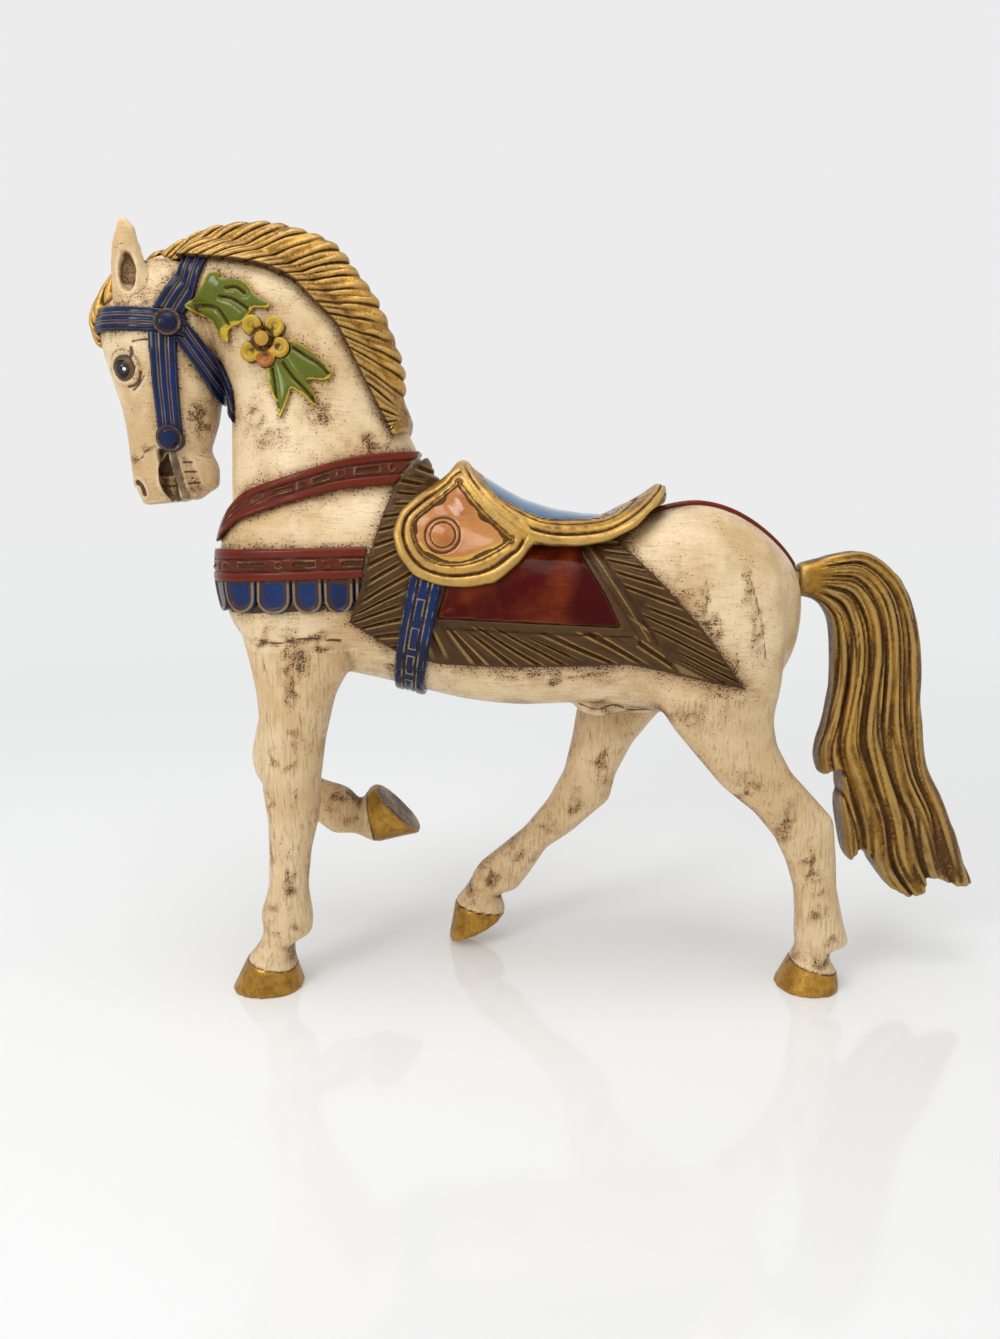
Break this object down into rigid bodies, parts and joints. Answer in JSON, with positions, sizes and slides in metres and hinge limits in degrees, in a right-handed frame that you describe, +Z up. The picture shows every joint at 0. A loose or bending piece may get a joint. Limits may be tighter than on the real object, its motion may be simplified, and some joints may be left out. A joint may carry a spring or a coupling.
{
  "type": "carved wooden carousel horse figure",
  "caption": "Free-standing carved and painted wooden carousel horse, stepping, with raised saddle, blanket, harness and neck flower, and a plug-in tail.",
  "frame": {"origin": "on the floor under the middle of the bounding box", "axes": "+Z up, the head points to -X and the tail to +X, +Y is the horse's right-hand side"},
  "size_m": [0.4094, 0.096, 0.3427],
  "materials": {
    "ivory_paint": "hand-painted ivory over wood, brown wash rubbed into the cuts, satin",
    "bare_wood": "unpainted turned dowel",
    "gold_paint": "worn gold paint with brown in the grooves",
    "eye_paint": "gloss painted eye",
    "blue_paint": "dark blue paint with rubbed gold edges",
    "seat_paint": "glossy blue-grey paint",
    "green_paint": "leaf green paint shading to yellow at the edges",
    "orange_paint": "glossy orange-tan paint",
    "red_paint": "dark red paint, glossy",
    "brown_paint": "brown paint with gold rubbed on the raised cuts",
    "tail_paint": "brown-gold paint, dark in the grooves"
  },
  "bodies": {
    "figure": {"torso": "ivory_paint", "neck": "ivory_paint", "head": "ivory_paint", "left_ear": "ivory_paint", "right_ear": "ivory_paint", "left_foreleg": "ivory_paint", "right_forearm": "ivory_paint", "right_cannon": "ivory_paint", "left_hind_leg": "ivory_paint", "right_hind_leg": "ivory_paint", "leg_dowels": "bare_wood", "neck_dowels": "bare_wood", "knee_dowel": "bare_wood", "mane": "gold_paint", "forelock": "gold_paint", "eyes": "eye_paint", "browband": "blue_paint", "crown_strap": "blue_paint", "cheek_straps": "blue_paint", "throat_strap": "blue_paint", "upper_rosettes": "blue_paint", "lower_rosettes": "blue_paint", "upper_leaf": "green_paint", "lower_leaves": "green_paint", "neck_flower": "gold_paint", "flower_boss": "orange_paint", "upper_breast_strap": "red_paint", "lower_breast_strap": "red_paint", "breast_scallops": "blue_paint", "blanket": "brown_paint", "blanket_panels": "red_paint", "girth_strap": "blue_paint", "seat": "seat_paint", "seat_rim": "gold_paint", "saddle_flaps": "gold_paint", "flap_panels": "orange_paint", "flap_bosses": "orange_paint", "crupper_strap": "red_paint"},
    "tail": {"tail": "tail_paint", "tail_peg": "bare_wood"}
  },
  "joints": [
    {"name": "tail_plug", "type": "slide", "parent": "figure", "child": "tail", "axis": [1, 0, 0], "range_m": [0, 0.022]}
  ]
}
